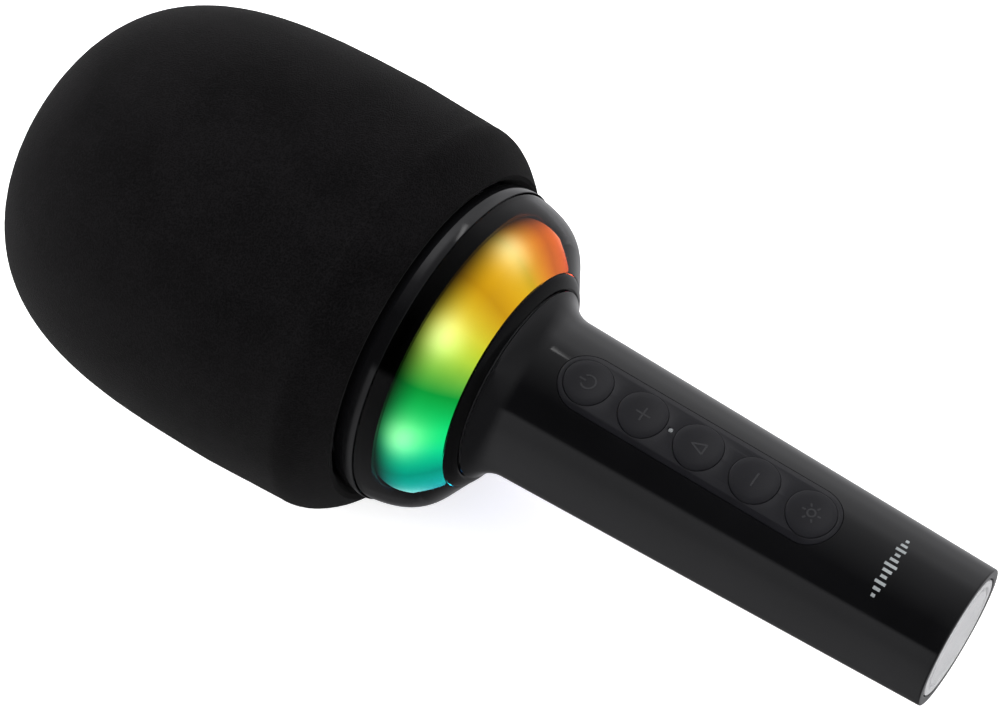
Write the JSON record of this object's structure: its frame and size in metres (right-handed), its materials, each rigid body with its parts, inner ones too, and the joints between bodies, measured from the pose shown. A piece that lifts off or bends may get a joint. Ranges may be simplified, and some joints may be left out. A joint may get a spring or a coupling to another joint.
{
  "type": "karaoke microphone",
  "caption": "Wireless karaoke microphone with a large foam windscreen, a ring of coloured lights round its collar, and a row of buttons on a tapered gloss handle.",
  "frame": {"origin": "centre of the flat tail face, on the microphone's axis", "axes": "+X out of the tail along the microphone's axis, so the head lies towards -X; +Z out of the button side; +Y to the side, completing the right-handed set"},
  "size_m": [0.245, 0.1018, 0.1018],
  "materials": {
    "windscreen_foam": "open-cell foam, dead matt",
    "grille_wire": "satin woven wire",
    "grille_metal": "satin",
    "liner_foam": "matt foam",
    "capsule_brass": "satin",
    "capsule_rubber": "matt",
    "inner_plastic": "moulded",
    "screw_steel": "zinc plated",
    "collar_gloss": "piano black",
    "smoked_clear": "smoked clear, polished",
    "milky_diffuser": "milky, satin",
    "strip_flex": "white solder mask",
    "led_lens": "clear lens",
    "rim_gloss": "piano black",
    "base_plastic": "moulded",
    "speaker_steel": "pressed steel",
    "magnet_ferrite": "sintered",
    "gasket_foam": "matt foam",
    "surround_rubber": "matt",
    "cone_paper": "pressed paper",
    "cap_plastic": "satin",
    "coil_copper": "enamelled wire",
    "handle_gloss": "piano black",
    "panel_soft": "satin",
    "button_rubber": "satin",
    "switch_housing": "moulded",
    "pipe_clear": "clear",
    "status_lens": "clear lens",
    "board_green": "solder mask",
    "chip_black": "moulded epoxy",
    "module_tin": "tinned",
    "chassis_plastic": "moulded",
    "battery_sleeve": "shrink sleeve on a steel can",
    "port_steel": "satin",
    "plate_silver": "satin",
    "lead_red": "insulated wire"
  },
  "bodies": {
    "body": {"grille_dome": "grille_wire", "grille_band": "grille_metal", "grille_side": "grille_wire", "grille_ring": "grille_metal", "grille_liner": "liner_foam", "mic_capsule": "capsule_brass", "capsule_cup": "capsule_rubber", "capsule_post": "inner_plastic", "capsule_bridge": "inner_plastic", "bridge_screw_1": "screw_steel", "bridge_screw_2": "screw_steel", "bridge_screw_3": "screw_steel", "upper_collar": "collar_gloss", "light_cover": "smoked_clear", "light_diffuser": "milky_diffuser", "led_strip": "strip_flex", "rim_ring": "rim_gloss", "head_base": "base_plastic", "speaker_frame": "speaker_steel", "speaker_magnet": "magnet_ferrite", "speaker_gasket": "gasket_foam", "speaker_surround": "surround_rubber", "handle_tube": "handle_gloss", "button_panel": "panel_soft", "status_light_pipe": "pipe_clear", "status_led": "status_lens", "main_board": "board_green", "audio_chip": "chip_black", "radio_module": "module_tin", "chassis": "chassis_plastic", "battery": "battery_sleeve", "charging_port": "port_steel", "charging_board": "board_green", "tail_plug": "base_plastic", "tail_plate": "plate_silver", "tail_screw_1": "screw_steel", "tail_screw_2": "screw_steel", "speaker_lead": "lead_red", "led_1": "led_lens", "led_2": "led_lens", "led_3": "led_lens", "led_4": "led_lens", "led_5": "led_lens", "led_6": "led_lens", "led_7": "led_lens", "led_8": "led_lens", "button_switch_1": "switch_housing", "button_switch_2": "switch_housing", "button_switch_3": "switch_housing", "button_switch_4": "switch_housing", "button_switch_5": "switch_housing"},
    "windscreen": {"foam_windscreen": "windscreen_foam"},
    "button_1": {"button_1": "button_rubber"},
    "button_2": {"button_2": "button_rubber"},
    "button_3": {"button_3": "button_rubber"},
    "button_4": {"button_4": "button_rubber"},
    "button_5": {"button_5": "button_rubber"},
    "cone": {"speaker_cone": "cone_paper", "dust_cap": "cap_plastic", "voice_coil": "coil_copper"}
  },
  "joints": [
    {"name": "windscreen_slide", "type": "slide", "parent": "body", "child": "windscreen", "axis": [-1, 0, 0], "range_m": [0, 0.115]},
    {"name": "button_1_press", "type": "slide", "parent": "body", "child": "button_1", "axis": [0, 0, -1], "range_m": [0, 0.0004], "stiffness_N_per_m": 2000, "springref_m": -0.0003},
    {"name": "button_2_press", "type": "slide", "parent": "body", "child": "button_2", "axis": [0, 0, -1], "range_m": [0, 0.0004], "stiffness_N_per_m": 2000, "springref_m": -0.0003},
    {"name": "button_3_press", "type": "slide", "parent": "body", "child": "button_3", "axis": [0, 0, -1], "range_m": [0, 0.0004], "stiffness_N_per_m": 2000, "springref_m": -0.0003},
    {"name": "button_4_press", "type": "slide", "parent": "body", "child": "button_4", "axis": [0, 0, -1], "range_m": [0, 0.0004], "stiffness_N_per_m": 2000, "springref_m": -0.0003},
    {"name": "button_5_press", "type": "slide", "parent": "body", "child": "button_5", "axis": [0, 0, -1], "range_m": [0, 0.0004], "stiffness_N_per_m": 2000, "springref_m": -0.0003},
    {"name": "speaker_cone_travel", "type": "slide", "parent": "body", "child": "cone", "axis": [-1, 0, 0], "range_m": [-0.001, 0.001], "stiffness_N_per_m": 1500}
  ]
}
